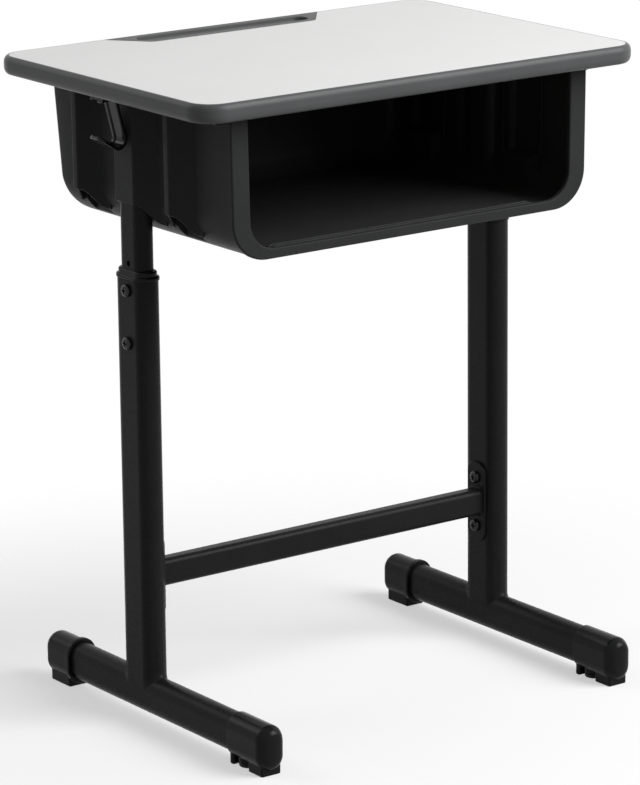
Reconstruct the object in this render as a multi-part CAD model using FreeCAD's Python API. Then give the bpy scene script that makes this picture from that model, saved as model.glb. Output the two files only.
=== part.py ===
import FreeCAD, Part
import math
import os

from FreeCAD import Vector as V

# Student desk: a framed writing top over an open-front moulded book box, on two
# telescoping legs with cross bar and T-shaped feet. Millimetres, +Z up.
# The origin is on the floor under the middle of the whole desk; -Y is the user's side.

# Whole desk
desk_height = 740.0        # floor to writing surface at the drawn setting
leg_outset = 4.6           # leg centre outside the box's side wall
rear_reach = 202.4         # leg plane to the back edge of the top
foot_front_reach = 250.0   # leg plane to the tip of a front cap
foot_rear_reach = 188.0    # leg plane to the tip of a rear cap
fit = 0.3                  # running gap between pieces that slide
seat_fit = 0.15            # gap of pieces pushed over or into each other
overrun = 5.0              # how far a cutting body passes the face it cuts
pick = 0.02                # tolerance when choosing edges to round

# Writing top
top_width = 600.0
top_depth = 414.0
top_thick = 21.0
top_corner_r = 32.0
band_width = 6.0
band_top_r = 5.0
band_under_r = 5.5
laminate_thick = 1.0
laminate_seam = 0.2

# Pencil tray let into the back of the top
tray_back_length = 301.0
tray_front_length = 228.0
tray_depth = 46.5
tray_thick = 12.0
tray_corner_r = 14.0
tray_shift = -5.0
trough_length = 236.0
trough_width = 24.5
trough_deep = 8.5
trough_floor_r = 6.0
trough_back = 10.0         # tray's back face to the trough
tray_edge_r = 1.2

# Book box
box_taper = 2.5            # how far a side wall leans in over its height
box_tall = 160.0
box_wall = 2.6
box_corner_r = 41.0
box_front_back = 31.0      # front edge of the top to the box's front
box_rear_in = 20.0         # back edge of the top to the box's rear wall
box_rear_taper = 16.0
box_rear_r = 26.0          # round from the rear wall into the floor
box_edge_r = 16.0          # round from the rear wall into the sides
rim_proud = 3.0            # rim's edge outside the side wall
rim_wide = 23.0
rim_low = 11.5
rim_thick = 6.0
rim_inner_r = 32.0
rim_edge_r = 2.2
bead_back = 16.0           # rim to the ridge along the box floor
bead_r = 4.5
bead_length = 366.0

# Hollow ribs on the box sides; the middle one takes the leg
rib_proud = 21.0
rib_taper = 1.0
rib_run = 17.0             # length of a rib's sloping flank
rib_wide = 9.0
leg_rib_wide = 36.0
rear_rib_share = 0.535     # of the box's reach behind the leg plane
front_rib_share = 0.46     # of its reach in front
rib_trim_rise = 39.0       # open lower end, above the box floor at the rib's face
rib_trim_in = 120.0        # where the trimmed end meets the box floor
rib_edge_r = 2.0
notch_in = 18.0            # how far a rib's open end bites into the lower corner
notch_tall = 44.0
sleeve_room = 2.0          # box channel round the leg tube

# Ears that hold the box under the top
ear_long = 24.0
ear_out = 14.0
ear_thick = 9.0
ear_r = 6.0
front_ear_in = 20.0        # box front to the first ear
back_ear_in = 39.0         # box rear to the last side ear
rear_ear_gap = 12.0        # end of the pencil tray to a rear ear

# Screws into the wooden core
screw_head_r = 4.4
screw_head_tall = 2.6
screw_r = 2.1
screw_bite = 14.0
screw_slot_wide = 1.1
screw_slot_deep = 1.4

# Bag hooks
hook_wide = 25.0
hook_thick = 4.0
hook_groove_wide = 15.5
hook_groove_deep = 1.4
hook_stand = 14.5          # strip at the top's underside, outside the middle rib
hook_margin = 5.0          # hook's flange inside the edge of the top
hook_flange = 18.0
hook_bend_r = 5.0
hook_in = 11.0             # how far the strip leans in on its way down
hook_drop = 44.0
hook_curl_r = 9.0
hook_tip_run = 19.0
hook_tip_rise = 13.0
hook_tip_r = 9.0
hook_groove_stop = 7.0     # groove's end short of the tip

# Leg tubes, flat oval
lower_long = 58.0
lower_wide = 30.0
slide_room_long = 7.0      # lower tube's outside to the upper tube, at a rounded end
slide_room_wide = 3.0      # and at a flat side
tube_wall = 1.5
tube_show = 36.5           # upper tube seen between collar and box
tube_overlap = 205.0       # upper tube inside the lower one
weld_spread = 5.0
weld_tall = 9.0
weld_side = 0.7

# Collar between the leg tubes
collar_tall = 11.0
collar_bead_tall = 5.0
collar_bead_out = 1.3
collar_neck_in = 1.4
collar_edge_r = 1.3
collar_deep = 42.0

# Sliding shoe in the foot of the upper tube
shoe_tall = 14.0
shoe_spigot = 18.0

# Height bolts
step_pitch = 30.0
bolt_drop = 12.0           # upper bolt below the lower tube's top
bolt_steps = 2             # holes between the two bolts
step_count = 7
hole_r = 3.2
bolt_r = 3.0
bolt_head_r = 7.4
bolt_head_tall = 4.6
bolt_head_edge_r = 2.6
recess_long = 7.0
recess_wide = 1.6
recess_deep = 2.0

# Plates that carry the top
plate_thick = 3.0
plate_wide = 52.0
plate_long = 116.0
plate_corner_r = 8.0
plate_screw_edge = 9.0
plate_room = 0.6

# Cross bar
bar_tall = 32.0
bar_deep = 22.0
bar_r = 7.0
bar_height = 169.0
end_plate_tall = 96.0
end_plate_wide = 32.0
end_plate_thick = 3.0
end_bolt_pitch = 60.0

# Feet
foot_tall = 45.0
foot_wide = 30.0
foot_clear = 9.5           # foot tube above the floor
cap_wall = 2.3
front_cap_long = 70.0
front_cap_end = 12.0       # solid end of a front cap
front_nose_r = 15.0
rear_cap_long = 54.0
rear_cap_end = 12.0
rear_nose_r = 9.0
rear_lip_out = 2.2
rear_lip_long = 7.0
rear_lip_r = 1.4
toe_wide = 26.0
toe_r = 3.0
front_toe_long = 27.0
front_toe_back = 8.0       # tip of the cap to the toe block
heel_long = 8.0
rear_block_long = 40.0
rear_block_back = 6.0
glide_back = 50.0          # tip of the front cap to the levelling glide
glide_r = 11.5
glide_tall = 4.4
glide_gap = 1.0
glide_edge = 1.4
boss_r = 12.2
stud_r = 4.0
stud_tall = 30.0
stud_room = 0.3

# Places worked out from the sizes above
hook_room = rib_proud + hook_stand + hook_flange + hook_margin
box_half = top_width / 2 - hook_room
hook_out = box_half + rib_proud + hook_stand
leg_x = box_half + leg_outset
leg_y = (foot_front_reach - rear_reach) / 2
upper_long = lower_long - 2 * slide_room_long
upper_wide = lower_wide - 2 * slide_room_wide
top_under = desk_height - top_thick
top_back = leg_y + rear_reach
top_mid_y = top_back - top_depth / 2
box_floor = top_under - box_tall
box_front_reach = top_depth - rear_reach - box_front_back
box_rear_reach = rear_reach - box_rear_in
box_front = leg_y - box_front_reach
box_rear = leg_y + box_rear_reach
rib_places = (rear_rib_share * box_rear_reach, -front_rib_share * box_front_reach)
ear_places = (front_ear_in - box_front_reach, box_rear_reach - back_ear_in)
rear_ear_x = tray_back_length / 2 + abs(tray_shift) + rear_ear_gap
rear_ear_places = (-rear_ear_x, rear_ear_x)
upper_top = top_under - plate_thick
lower_top = box_floor - tube_show - collar_tall
upper_foot = lower_top - tube_overlap
lower_inner_long = lower_long - 2 * tube_wall
lower_inner_wide = lower_wide - 2 * tube_wall
bolt_height = lower_top - bolt_drop
foot_mid = foot_clear + foot_tall / 2
ORIGIN = V(0, 0, 0)
AX = V(1, 0, 0)
AY = V(0, 1, 0)
AZ = V(0, 0, 1)


def stadium(length, width):
    """Flat-oval outline in the XY plane, long along Y."""
    r = width / 2
    s = (length - width) / 2
    edges = [
        Part.makeLine(V(r, -s, 0), V(r, s, 0)),
        Part.Arc(V(r, s, 0), V(0, s + r, 0), V(-r, s, 0)).toShape(),
        Part.makeLine(V(-r, s, 0), V(-r, -s, 0)),
        Part.Arc(V(-r, -s, 0), V(0, -s - r, 0), V(r, -s, 0)).toShape(),
    ]
    return Part.Wire(edges)


def prism(wire, height):
    """Outline in the XY plane raised along Z."""
    return Part.Face(wire).extrude(V(0, 0, height))


def polygon(points):
    """Closed outline through points."""
    return Part.makePolygon(list(points) + [points[0]])


def block(wide, deep, tall, r):
    """Upright block centred on Z with rounded vertical corners."""
    solid = Part.makeBox(wide, deep, tall, V(-wide / 2, -deep / 2, 0))
    upright = [e for e in solid.Edges if vertical(e)]
    return solid.makeFillet(r, upright)


def vertical(edge):
    """True for a straight edge along Z."""
    box = edge.BoundBox
    return box.XLength + box.YLength < pick < box.ZLength


def flat_at(edge, axis, place):
    """True for an edge lying wholly at one level along an axis."""
    box = edge.BoundBox
    low = getattr(box, axis + "Min")
    high = getattr(box, axis + "Max")
    return abs(low - place) < pick and abs(high - place) < pick


def level_edges(solid, axis, place):
    """All edges of a solid at one level along an axis."""
    return [e for e in solid.Edges if flat_at(e, axis, place)]


def moved(shape, x, y, z):
    """Copy of a shape shifted to a place."""
    copy = shape.copy()
    copy.translate(V(x, y, z))
    return copy


def along_y(shape):
    """Turns a prism raised along Z to run along +Y, its outline's Y upright."""
    copy = shape.copy()
    copy.rotate(ORIGIN, AX, -90)
    return copy


def along_x(shape):
    """Turns a prism raised along Z to run along +X, its outline's Y upright."""
    copy = shape.copy()
    copy.rotate(ORIGIN, AZ, 90)
    copy.rotate(ORIGIN, AY, 90)
    return copy


def mirrored(shape):
    """The same piece on the other side of the desk."""
    return shape.mirror(ORIGIN, AX)


def save(shape, node):
    """Writes one piece."""
    shape.exportStep("parts/" + node + ".step")


def save_pair(left, node):
    """Writes the left piece and its right-hand mirror."""
    save(left, node + "_left")
    save(mirrored(left), node + "_right")


def slab(inset, low, high):
    """Rounded-corner plate under the top's outline, inset from its edge."""
    plate = block(top_width - 2 * inset, top_depth - 2 * inset, high - low, top_corner_r - inset)
    return moved(plate, 0, top_mid_y, low)


def tray_solid(gap):
    """Tray's outer body: a tapered strip with rounded front corners."""
    back = top_back - band_width
    front = back - tray_depth - gap
    half_back = tray_back_length / 2 + gap
    half_front = tray_front_length / 2 + gap
    low = desk_height - tray_thick - gap
    points = [V(-half_back, back, low), V(-half_front, front, low)]
    points += [V(half_front, front, low), V(half_back, back, low)]
    solid = prism(polygon(points), tray_thick + gap)
    corners = [e for e in solid.Edges if vertical(e) and flat_at(e, "Y", front)]
    return moved(solid.makeFillet(tray_corner_r, corners), tray_shift, 0, 0)


def make_tray():
    """Pencil tray with one long round-ended trough."""
    solid = tray_solid(0)
    upper = level_edges(solid, "Z", desk_height)
    upper = [e for e in upper if not flat_at(e, "Y", top_back - band_width)]
    solid = solid.makeFillet(tray_edge_r, upper)
    trough = block(trough_length, trough_width, trough_deep + overrun, trough_width / 2 - seat_fit)
    trough = trough.makeFillet(trough_floor_r, level_edges(trough, "Z", 0))
    y = top_back - band_width - trough_back - trough_width / 2
    return solid.cut(moved(trough, tray_shift, y, desk_height - trough_deep))


def make_band():
    """Moulded edge running round the top."""
    solid = slab(0, top_under, desk_height)
    solid = solid.makeFillet(band_top_r, level_edges(solid, "Z", desk_height))
    solid = solid.makeFillet(band_under_r, level_edges(solid, "Z", top_under))
    return solid.cut(slab(band_width, top_under - overrun, desk_height + overrun))


def screw_spots():
    """Places under the top where screws enter the core: x, y and height of the head's seat."""
    spots = []
    for side in (-1, 1):
        for place in ear_places:
            spots.append((side * (box_half + ear_out / 2), leg_y + place, top_under - ear_thick))
        spots.append((side * (hook_out + hook_flange / 2 + hook_thick / 2), leg_y, top_under - hook_thick))
        for dx in (-1, 1):
            for dy in (-1, 1):
                x = side * leg_x + dx * (plate_wide / 2 - plate_screw_edge)
                y = leg_y + dy * (plate_long / 2 - plate_screw_edge)
                spots.append((x, y, top_under - plate_thick))
    for place in rear_ear_places:
        spots.append((place, box_rear + ear_out / 2, top_under - ear_thick))
    return spots


def make_core():
    """Wooden core with the tray's pocket and the screws' pilot holes."""
    solid = slab(band_width, top_under, desk_height - laminate_thick)
    solid = solid.cut(tray_solid(seat_fit))
    for x, y, seat in screw_spots():
        pilot = Part.makeCylinder(screw_r, screw_bite + overrun, V(x, y, top_under + screw_bite), -AZ)
        solid = solid.cut(pilot)
    return solid


def make_laminate():
    """Thin light sheet on the core, cut away at the tray."""
    solid = slab(band_width + laminate_seam, desk_height - laminate_thick, desk_height)
    return solid.cut(tray_solid(laminate_seam))


def screw(x, y, seat):
    """Pan-head wood screw driven up from a seat."""
    head = Part.makeCylinder(screw_head_r, screw_head_tall, V(x, y, seat), -AZ)
    head = head.makeChamfer(screw_head_tall / 2, level_edges(head, "Z", seat - screw_head_tall))
    shank = Part.makeCylinder(screw_r, top_under + screw_bite - seat, V(x, y, seat))
    solid = head.fuse(shank).removeSplitter()
    for long_x in (True, False):
        dx = screw_head_r if long_x else screw_slot_wide
        dy = screw_slot_wide if long_x else screw_head_r
        corner = V(x - dx / 2, y - dy / 2, seat - screw_head_tall - overrun)
        solid = solid.cut(Part.makeBox(dx, dy, screw_slot_deep + overrun, corner))
    return solid


def make_screws(kind):
    """Group of screws that share a seat height."""
    return Part.makeCompound([screw(*spot) for spot in screw_spots() if abs(spot[2] - kind) < seat_fit])


def box_body(inset, front, low_inset):
    """Drafted box with rounded lower corners, shrunk by inset, from a front plane to the rear wall."""
    high = top_under
    low = box_floor + low_inset
    half_high = box_half - inset
    half_low = box_half - box_taper - inset
    points = [V(-half_high, front, high), V(half_high, front, high)]
    points += [V(half_low, front, low), V(-half_low, front, low)]
    section = polygon(points)
    rear = box_rear - inset
    solid = Part.Face(section).extrude(V(0, rear - front, 0))
    lower = [e for e in level_edges(solid, "Z", low) if e.BoundBox.YLength > box_corner_r]
    solid = solid.makeFillet(box_corner_r - inset, lower).common(rear_profile(inset, front, low, rear))
    edges = [e for e in solid.Edges if e.BoundBox.YMin > rear - box_rear_taper - box_rear_r - pick]
    edges = [e for e in edges if rear_edge(e, high)]
    return solid.makeFillet(box_edge_r - inset, edges)


def rear_profile(inset, front, low, rear):
    """Wide body with the box's side view: a leaning rear wall rounded into the floor."""
    side = -top_width
    points = [V(side, front, top_under), V(side, front, low)]
    points += [V(side, rear - box_rear_taper, low), V(side, rear, top_under)]
    solid = Part.Face(polygon(points)).extrude(V(2 * top_width, 0, 0))
    corner = [e for e in level_edges(solid, "Z", low) if flat_at(e, "Y", rear - box_rear_taper)]
    return solid.makeFillet(box_rear_r - inset, corner)


def rear_edge(edge, high):
    """True for an edge where the box's rear wall meets a side or a lower corner."""
    box = edge.BoundBox
    return box.ZLength > pick and not flat_at(edge, "Z", high) and box.XLength < box_corner_r + box_taper


def rim_plate(half, low, r, thick, grow):
    """U-shaped plate in the front plane of the box, rounded below."""
    high = top_under + grow
    y = box_front - grow
    points = [V(-half, y, high), V(half, y, high), V(half - box_taper, y, low), V(-half + box_taper, y, low)]
    solid = Part.Face(polygon(points)).extrude(V(0, thick + 2 * grow, 0))
    corners = [e for e in level_edges(solid, "Z", low) if e.BoundBox.XLength < pick]
    return solid.makeFillet(r, corners)


def make_rim():
    """Flange round the open front of the box."""
    outer = rim_plate(box_half + rim_proud, box_floor - rim_proud / 2, box_corner_r + rim_proud, rim_thick, 0)
    face = [e for e in level_edges(outer, "Y", box_front) if not flat_at(e, "Z", top_under)]
    outer = outer.makeFillet(rim_edge_r, face)
    half = box_half + rim_proud - rim_wide
    inner = rim_plate(half, box_floor - rim_proud / 2 + rim_low, rim_inner_r, rim_thick, overrun)
    return outer.cut(inner)


def rib(place, wide, inset, low):
    """Drafted left-hand rib: a trapezium in plan, shrunk by inset on its outside."""
    wires = []
    for level, lean in ((top_under, 0), (low, rib_taper)):
        outer = box_half + rib_proud - lean - inset
        base = box_half - box_taper - rib_run
        half = wide / 2 - inset / 2
        foot = half + (outer - base) * rib_run / rib_proud
        ring = [V(-outer, half, level), V(-outer, -half, level)]
        ring += [V(-base, -foot, level), V(-base, foot, level)]
        wires.append(polygon([V(p.x, p.y + leg_y + place, p.z) for p in ring]))
    solid = Part.makeLoft(wires, True, True)
    ridges = [e for e in solid.Edges if e.BoundBox.ZLength > box_tall - pick and e.BoundBox.XMin < -box_half]
    return solid.makeFillet(rib_edge_r, ridges)


def rib_trim():
    """Body below the slanting open ends of the left-hand ribs."""
    outer = box_half + rib_proud + overrun
    inner = box_half + rib_proud - rib_trim_in
    rise = rib_trim_rise + rib_trim_rise * overrun / rib_trim_in
    front = leg_y - box_front_reach
    points = [V(-outer, front, box_floor + rise), V(-inner, front, box_floor)]
    points += [V(-inner, front, box_floor - rib_trim_rise), V(-outer, front, box_floor - rib_trim_rise)]
    return Part.Face(polygon(points)).extrude(V(0, box_front_reach + box_rear_reach, 0))


def ribs_of(inset, low):
    """The three ribs of the left side as one list."""
    shapes = [rib(place, rib_wide, inset, low) for place in rib_places]
    shapes.append(rib(0, leg_rib_wide, inset, low))
    return shapes


def both(shape):
    """A left-hand shape together with its mirror."""
    return [shape, mirrored(shape)]


def leg_channel(room):
    """Upright flat-oval body round the left upper tube."""
    wire = stadium(upper_long + 2 * room, upper_wide + 2 * room)
    tall = box_tall + 2 * overrun
    return moved(prism(wire, tall), -leg_x, leg_y, box_floor - overrun)


def ear(x, y, dx, dy):
    """Ear with two rounded corners, reaching out from a wall by dx or dy."""
    wide = ear_out + box_wall if dx else ear_long
    deep = ear_long if dx else ear_out + box_wall
    solid = Part.makeBox(wide, deep, ear_thick, V(x, y, top_under - ear_thick))
    solid.translate(V(-wide if dx else -wide / 2, -deep / 2 if dx else 0, 0))
    low = top_under - ear_thick - overrun
    hole = Part.makeCylinder(screw_r, ear_thick + 2 * overrun, V(x - dx, y + dy, low))
    far = "X" if dx else "Y"
    level = solid.BoundBox.XMin if dx else solid.BoundBox.YMax
    corners = [e for e in solid.Edges if vertical(e) and flat_at(e, far, level)]
    return solid.makeFillet(ear_r, corners).cut(hole)


def side_slab(inner, tall):
    """Body over the left side of the box, from a plane outwards, up to a height above the box floor."""
    corner = V(-top_width, -top_depth, box_floor - overrun)
    return Part.makeBox(top_width - inner, 2 * top_depth, tall + overrun, corner)


def make_notches():
    """Open lower ends of the two narrow left ribs, and the thickened corner behind each."""
    outer = box_body(0, box_front, 0)
    reach = box_half - notch_in
    pads = []
    notches = []
    for place in rib_places:
        pad = rib(place, rib_wide + 2 * box_wall, 0, box_floor).common(outer)
        pads.append(pad.common(side_slab(reach - box_wall, notch_tall + box_wall)))
        hollow = rib(place, rib_wide, box_wall, box_floor - overrun)
        notches.append(hollow.common(side_slab(reach, notch_tall)))
    return pads, notches


def make_box():
    """Book box: drafted shell with hollow ribs, leg sleeves, front rim, floor ridge and ears."""
    outer = box_body(0, box_front, 0)
    inner = box_body(box_wall, box_front - overrun, box_wall)
    trim = rib_trim()
    ribs = [shape.cut(trim) for shape in ribs_of(0, box_floor)]
    sleeve = leg_channel(sleeve_room + box_wall).common(outer)
    pads, notches = make_notches()
    shell = outer.fuse(ribs + [mirrored(shape) for shape in ribs])
    shell = shell.cut(inner).fuse(both(sleeve) + pads + [mirrored(shape) for shape in pads])
    for hollow in ribs_of(box_wall, box_floor - overrun):
        shell = shell.cut(both(hollow.cut(outer)))
    for hollow in notches + [leg_channel(sleeve_room)]:
        shell = shell.cut(both(hollow))
    ridge_start = V(-bead_length / 2, box_front + rim_thick + bead_back, box_floor)
    ridge = Part.makeCylinder(bead_r, bead_length, ridge_start, AX)
    shell = shell.fuse([make_rim(), ridge.common(inner)] + make_ears())
    return shell.cut(both(plate_body(plate_room))).removeSplitter()


def make_ears():
    """Ears along the sides and the back of the box, under the top."""
    ears = []
    for place in ear_places:
        ears += both(ear(-box_half + box_wall, leg_y + place, box_wall + ear_out / 2, 0))
    for place in rear_ear_places:
        ears.append(ear(place, box_rear - box_wall, 0, box_wall + ear_out / 2))
    return ears


def plate_body(room):
    """Left top plate, grown by room."""
    plate = block(plate_wide + 2 * room, plate_long + 2 * room, plate_thick + room, plate_corner_r + room)
    return moved(plate, -leg_x, leg_y, top_under - plate_thick - room)


def make_plate():
    """Steel plate on the upper tube, with clearance holes for its screws."""
    solid = plate_body(0)
    for x, y, seat in screw_spots():
        solid = solid.cut(Part.makeCylinder(screw_r, plate_thick + 2 * overrun, V(x, y, upper_top - overrun)))
    return solid


def hook_line(offset, stop):
    """Edges of the left hook's strip in the XZ plane, offset to its hollow side, and its end points."""
    corner = V(-hook_out, 0, top_under - hook_thick / 2)
    low = corner + V(hook_in, 0, -hook_drop)
    down = (low - corner).normalize()
    out = V(-hook_tip_run, 0, hook_tip_rise)
    tip_run = out.Length - stop
    out = out.normalize()
    flange_n = -AZ
    strip_n = V(down.z, 0, -down.x)
    tip_n = V(out.z, 0, -out.x)
    turn = hook_bend_r * math.tan(AX.getAngle(down) / 2)
    bend = corner - AX * turn + flange_n * hook_bend_r
    curl = low + strip_n * hook_curl_r
    bend_r = hook_bend_r - offset
    curl_r = hook_curl_r - offset
    start = corner - AX * hook_flange + flange_n * offset
    curl_end = curl - tip_n * curl_r
    tip = curl_end + out * tip_run
    bend_mid = bend - (flange_n + strip_n).normalize() * bend_r
    curl_mid = curl - (strip_n + tip_n).normalize() * curl_r
    edges = [
        Part.makeLine(start, bend - flange_n * bend_r),
        Part.Arc(bend - flange_n * bend_r, bend_mid, bend - strip_n * bend_r).toShape(),
        Part.makeLine(bend - strip_n * bend_r, curl - strip_n * curl_r),
        Part.Arc(curl - strip_n * curl_r, curl_mid, curl_end).toShape(),
        Part.makeLine(curl_end, tip),
    ]
    return edges, start, tip


def strip(wide, near, far, stop):
    """Bent strip between two offsets from the hook's line, stopping short of the tip."""
    near_edges, near_start, near_tip = hook_line(near, stop)
    far_edges, far_start, far_tip = hook_line(far, stop)
    ends = [Part.makeLine(near_start, far_start), Part.makeLine(near_tip, far_tip)]
    wire = Part.Wire(Part.sortEdges(near_edges + far_edges + ends)[0])
    return moved(Part.Face(wire).extrude(V(0, wide, 0)), 0, leg_y - wide / 2, 0)


def make_hook():
    """Left bag hook: grooved strip with a curled, round-ended tip."""
    solid = strip(hook_wide, -hook_thick / 2, hook_thick / 2, 0)
    tip = hook_line(0, 0)[2] + AY * leg_y
    ends = [e for e in solid.Edges if e.BoundBox.YLength < pick and abs(e.Length - hook_thick) < pick]
    ends = [e for e in ends if e.CenterOfMass.distanceToPoint(tip) < hook_wide]
    solid = solid.makeFillet(hook_tip_r, ends)
    face = hook_thick / 2
    groove = strip(hook_groove_wide, face - hook_groove_deep, face + seat_fit, hook_groove_stop)
    x = -hook_out - hook_flange / 2 - hook_thick / 2
    hole = Part.makeCylinder(screw_r, hook_thick + 2 * overrun, V(x, leg_y, top_under - hook_thick - overrun))
    return solid.cut([groove, hole])


def oval_tube(length, width, low, high):
    """Upright flat-oval tube of the left leg."""
    outer = prism(stadium(length, width), high - low)
    inner = prism(stadium(length - 2 * tube_wall, width - 2 * tube_wall), high - low)
    return moved(outer.cut(inner), -leg_x, leg_y, low)


def side_hole(r, z, start_x, length):
    """Horizontal cylinder along X through the left leg's middle."""
    return Part.makeCylinder(r, length, V(start_x, leg_y, z), AX)


def make_upper_tube():
    """Inner leg tube with its row of adjusting holes on the outside."""
    solid = oval_tube(upper_long, upper_wide, upper_foot, upper_top)
    for step in range(step_count):
        z = bolt_height + step_pitch - step * step_pitch
        solid = solid.cut(side_hole(hole_r, z, -leg_x - upper_wide, upper_wide))
    return solid


def foot_body(grow, start, end):
    """Flat-oval bar along Y at the left foot, grown all round."""
    bar = along_y(prism(stadium(foot_tall + 2 * grow, foot_wide + 2 * grow), end - start))
    return moved(bar, -leg_x, leg_y + start, foot_mid)


def bolt_levels():
    """Heights of the two height bolts of a leg."""
    return [bolt_height - bolt_steps * step_pitch * i for i in range(2)]


def bar_bolt_levels():
    """Heights of the two bolts of an end plate."""
    return [bar_height + side * end_bolt_pitch / 2 for side in (-1, 1)]


def make_lower_tube():
    """Outer leg tube, saddle-cut and welded on to the foot tube."""
    solid = oval_tube(lower_long, lower_wide, foot_mid + foot_tall / 2 - foot_wide / 2, lower_top)
    low = foot_clear + foot_tall - weld_spread
    ring = []
    for grow, side, z in ((weld_spread, weld_side, low), (0, 0, low + weld_tall)):
        wire = stadium(lower_long + 2 * grow, lower_wide + side)
        wire.translate(V(-leg_x, leg_y, z))
        ring.append(wire)
    weld = Part.makeLoft(ring, True, True)
    bore = moved(prism(stadium(lower_inner_long, lower_inner_wide), weld_tall), -leg_x, leg_y, low)
    solid = solid.fuse(weld.cut(bore)).cut(foot_body(0, -lower_long, lower_long))
    for z in bolt_levels():
        solid = solid.cut(side_hole(hole_r, z, -leg_x - lower_wide, lower_wide))
    for z in bar_bolt_levels():
        solid = solid.cut(side_hole(hole_r, z, -leg_x, lower_wide))
    return solid.removeSplitter()


def make_collar():
    """Moulded collar: sleeve in the lower tube under two stacked beads."""
    outline = stadium(lower_long + 2 * collar_bead_out, lower_wide + 2 * collar_bead_out)
    bead = prism(outline, collar_bead_tall)
    rims = level_edges(bead, "Z", 0) + level_edges(bead, "Z", collar_bead_tall)
    bead = bead.makeFillet(collar_edge_r, rims)
    neck_tall = collar_tall - collar_bead_tall
    neck = prism(stadium(lower_long - 2 * collar_neck_in, lower_wide - 2 * collar_neck_in), neck_tall)
    neck = moved(neck.makeFillet(collar_edge_r, level_edges(neck, "Z", neck_tall)), 0, 0, collar_bead_tall)
    sleeve = prism(stadium(lower_inner_long - 2 * seat_fit, lower_inner_wide - 2 * seat_fit), collar_deep)
    through = collar_deep + collar_tall + 2 * overrun
    bore = prism(stadium(upper_long + 2 * fit, upper_wide + 2 * fit), through)
    bore = moved(bore, 0, 0, -collar_deep - overrun)
    solid = bead.fuse([neck, moved(sleeve, 0, 0, -collar_deep)]).cut(bore)
    solid = moved(solid, -leg_x, leg_y, lower_top)
    for z in bolt_levels():
        solid = solid.cut(side_hole(hole_r, z, -leg_x - lower_wide, lower_wide))
    return solid.removeSplitter()


def make_shoe():
    """Plastic shoe that guides the foot of the upper tube inside the lower one."""
    base = prism(stadium(lower_inner_long - 2 * fit, lower_inner_wide - 2 * fit), shoe_tall)
    inner_long = upper_long - 2 * tube_wall - 2 * seat_fit
    spigot = prism(stadium(inner_long, upper_wide - 2 * tube_wall - 2 * seat_fit), shoe_tall + shoe_spigot)
    return moved(base.fuse(spigot).removeSplitter(), -leg_x, leg_y, upper_foot - shoe_tall)


def bolt(bite):
    """Round-headed bolt along +X with its head on the outside of x = 0 and a cross recess."""
    head = Part.makeCylinder(bolt_head_r, bolt_head_tall, ORIGIN, -AX)
    head = head.makeFillet(bolt_head_edge_r, level_edges(head, "X", -bolt_head_tall))
    shank = Part.makeCylinder(bolt_r, bite, ORIGIN, AX)
    solid = head.fuse(shank).removeSplitter()
    for tall, deep in ((recess_long, recess_wide), (recess_wide, recess_long)):
        corner = V(-bolt_head_tall - overrun, -deep / 2, -tall / 2)
        solid = solid.cut(Part.makeBox(recess_deep + overrun, deep, tall, corner))
    return solid


def make_height_bolts():
    """Two bolts in the outside of each leg; they end short of the sliding tube."""
    gap = (lower_wide - upper_wide) / 2 - fit
    left = [moved(bolt(gap), -leg_x - lower_wide / 2, leg_y, z) for z in bolt_levels()]
    return Part.makeCompound(left + [mirrored(b) for b in left])


def make_bar():
    """Cross bar tube between the end plates."""
    length = 2 * leg_x - lower_wide - 2 * end_plate_thick
    outer = block(bar_deep, bar_tall, length, bar_r)
    inner = block(bar_deep - 2 * tube_wall, bar_tall - 2 * tube_wall, length, bar_r - tube_wall)
    bar = along_x(outer.cut(inner))
    return moved(bar, -length / 2, leg_y, bar_height)


def make_end_plate():
    """Left oval plate on the inner side of the leg."""
    plate = along_x(prism(stadium(end_plate_tall, end_plate_wide), end_plate_thick))
    plate = moved(plate, -leg_x + lower_wide / 2, leg_y, bar_height)
    for z in bar_bolt_levels():
        plate = plate.cut(side_hole(hole_r, z, -leg_x, lower_wide))
    return plate


def make_bar_bolts():
    """Four bolts that hold the end plates to the legs."""
    seat = leg_x - lower_wide / 2 - end_plate_thick
    bite = end_plate_thick + tube_wall
    right = [moved(bolt(bite), seat, leg_y, z) for z in bar_bolt_levels()]
    return Part.makeCompound(right + [mirrored(b) for b in right])


def glide_y():
    """Place of a front levelling glide along Y."""
    return leg_y - foot_front_reach + glide_back


def make_foot_tube():
    """Left foot tube, with a hole for the levelling stud."""
    start = -foot_front_reach + front_cap_end
    end = foot_rear_reach - rear_cap_end
    solid = foot_body(0, start, end).cut(foot_body(-tube_wall, start, end))
    stud = Part.makeCylinder(stud_r + 2 * stud_room, foot_mid, V(-leg_x, glide_y(), 0))
    return solid.cut(stud)


def toe(start, end, r):
    """Block under a cap, from the floor up into the cap's wall."""
    solid = block(toe_wide, end - start, foot_clear + foot_wide / 2, r)
    return moved(solid, -leg_x, leg_y + (start + end) / 2, 0)


def cap_bore(start, end):
    """Room for the foot tube inside a cap."""
    return foot_body(seat_fit, start, end)


def make_front_cap():
    """Front cap: sleeve with a domed nose, toe and heel blocks and a boss for the glide."""
    start = -foot_front_reach
    end = start + front_cap_long
    solid = foot_body(cap_wall, start, end)
    solid = solid.makeFillet(front_nose_r, level_edges(solid, "Y", leg_y + start))
    boss_low = glide_tall + glide_gap
    boss = Part.makeCylinder(boss_r, foot_clear + foot_wide / 2 - boss_low, V(-leg_x, glide_y(), boss_low))
    blocks = [toe(start + front_toe_back, start + front_toe_back + front_toe_long, toe_r)]
    blocks += [toe(end - heel_long, end, toe_r), boss]
    solid = solid.fuse(blocks).cut(cap_bore(start + front_cap_end, end + overrun))
    stud = Part.makeCylinder(stud_r + stud_room, foot_mid, V(-leg_x, glide_y(), 0))
    return solid.cut(stud).removeSplitter()


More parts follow.
